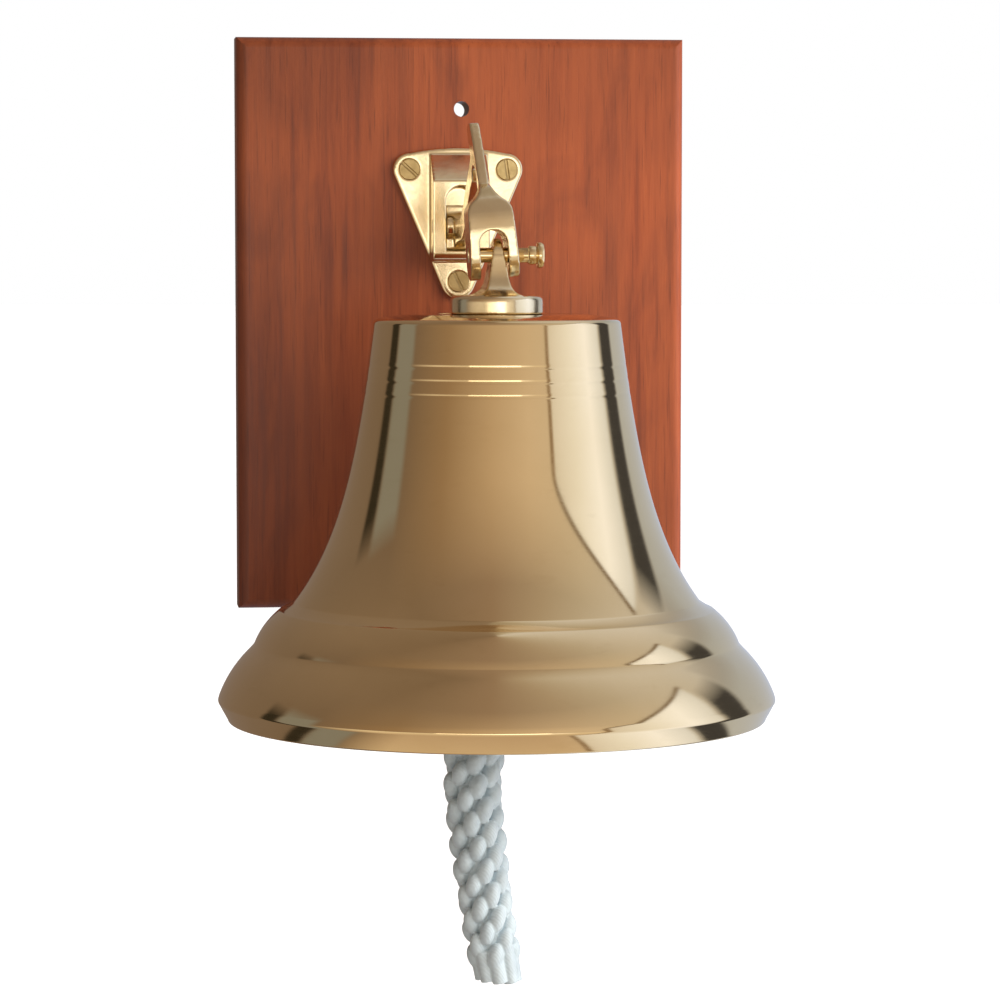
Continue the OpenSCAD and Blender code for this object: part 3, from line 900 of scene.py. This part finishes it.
def room(g, azimuth, height):
    """Walls and ceiling, with a warm glow low in front and a bright patch straight ahead."""
    walls = around(g, azimuth, WALL_STOPS)
    ceiling = around(g, azimuth, CEILING_STOPS)
    color = g.mix(g.spread(height, *CEILING_FROM), walls, ceiling)
    glow = g.ramp(g.spread(height, *FRONT_HEIGHTS), FRONT_STOPS)
    color = g.mix(patch(g, azimuth, height, FRONT_GLOW), color, glow)
    ahead = g.math("MULTIPLY", g.band(azimuth, *AHEAD[0]), g.band(height, *AHEAD[1]))
    return g.mix(ahead, color, AHEAD_COLOR)


def left_window(g, azimuth, height, color):
    """A dim pane on the left, with a dark frame beside it."""
    color = g.mix(patch(g, azimuth, height, LEFT_PANE), color, LEFT_PANE_COLOR)
    return g.mix(patch(g, azimuth, height, LEFT_FRAME), color, LEFT_FRAME_COLOR)


def right_window(g, azimuth, height, color):
    """A tall bright pane on the right, whose top edge rises to the right, with dark edges."""
    share = g.math("POWER", g.spread(azimuth, *WINDOW_RUN), WINDOW_BEND)
    top = g.math("ADD", g.math("MULTIPLY", share, WINDOW_RISE), WINDOW_LOW)
    over = g.math("SUBTRACT", height, top)
    bright = g.ramp(g.spread(azimuth, *PANE_RUN), PANE_STOPS)
    color = g.mix(patch(g, azimuth, over, WINDOW_PANE), color, bright)
    edge = g.math("MULTIPLY", g.band(over, *WINDOW_EDGE[1]), g.band(azimuth, *WINDOW_EDGE[0]))
    color = g.mix(edge, color, WINDOW_TOP_COLOR)
    return g.mix(patch(g, azimuth, height, WINDOW_SIDE), color, WINDOW_SIDE_COLOR)


def far_window(g, azimuth, height, color):
    """A dimmer pane beyond the right window, and the dark post between the two."""
    dim = g.ramp(g.spread(height, *FAR_PANE_HEIGHTS), FAR_PANE_STOPS)
    color = g.mix(patch(g, azimuth, height, FAR_PANE), color, dim)
    return g.mix(patch(g, azimuth, height, POST), color, POST_COLOR)


def make_world():
    """A warm room for the brass to reflect, by azimuth and height in degrees; the camera sees it white."""
    world = bpy.data.worlds.new("studio")
    bpy.context.scene.world = world
    world.use_nodes = True
    g = Graph("studio", world.node_tree)
    view = g.tree.nodes.new("ShaderNodeTexCoord").outputs["Generated"]
    split = g.node("SeparateXYZ")
    g.join(view, split.inputs["Vector"])
    front = g.math("MULTIPLY", split.outputs["Y"], -1)
    azimuth = in_degrees(g, g.math("ARCTAN2", split.outputs["X"], front))
    height = in_degrees(g, g.math("ARCSINE", split.outputs["Z"], 0))
    color = room(g, azimuth, height)
    for window in (left_window, right_window, far_window):
        color = window(g, azimuth, height, color)
    seen = g.node("LightPath")
    color = g.mix(seen.outputs["Is Camera Ray"], color, WHITE)
    background = g.tree.nodes["Background"]
    g.join(color, background.inputs["Color"])
    background.inputs["Strength"].default_value = 1.0


def area_light(name, place, target, size, power, color, reflected):
    """A rectangular light aimed at a target, which the brass reflects only if it is asked to."""
    data = bpy.data.lights.new(name, "AREA")
    data.shape = "RECTANGLE"
    data.size, data.size_y = size
    data.energy = power
    data.color = color
    light = bpy.data.objects.new(name, data)
    bpy.context.scene.collection.objects.link(light)
    light.location = place
    light.rotation_euler = (Vector(target) - Vector(place)).to_track_quat("-Z", "Y").to_euler()
    light.visible_glossy = reflected


def make_floor():
    """A pale floor that catches a soft shadow, and that the brass doesn't reflect."""
    corners = [(-FLOOR_HALF, -FLOOR_HALF), (FLOOR_HALF, -FLOOR_HALF), (FLOOR_HALF, FLOOR_HALF),
               (-FLOOR_HALF, FLOOR_HALF)]
    floor = link_mesh("floor", [(x, y, FLOOR_Z) for x, y in corners], [(0, 1, 2, 3)], smooth=False)
    g = Graph("pale_floor")
    seen = g.node("LightPath")
    glow = g.math("MULTIPLY", seen.outputs["Is Camera Ray"], FLOOR_GLOW)
    floor.data.materials.append(g.to(Base_Color=FLOOR_COLOR, Roughness=0.7,
                                     Emission_Color=WHITE, Emission_Strength=glow))
    floor.visible_glossy = False


# Each light's name, place, target, size, power in watts, colour, and whether the brass reflects it
LIGHTS = (
    ("key", (1.5, -2.0, 0.9), (0, 0, 0), (1.5, 1.5), 37, (1.0, 0.96, 0.90), False),
    ("side", (1.7, -0.7, 0.4), (0, -0.05, -0.05), (0.8, 1.2), 26, (1.0, 0.95, 0.86), False),
    ("low", (-0.3, -2.3, -0.08), (0, 0, 0), (1.8, 0.4), 3, (1.0, 0.94, 0.82), True),
)

make_world()
make_floor()
for light in LIGHTS:
    area_light(*light)
bpy.context.scene.view_settings.view_transform = "Standard"
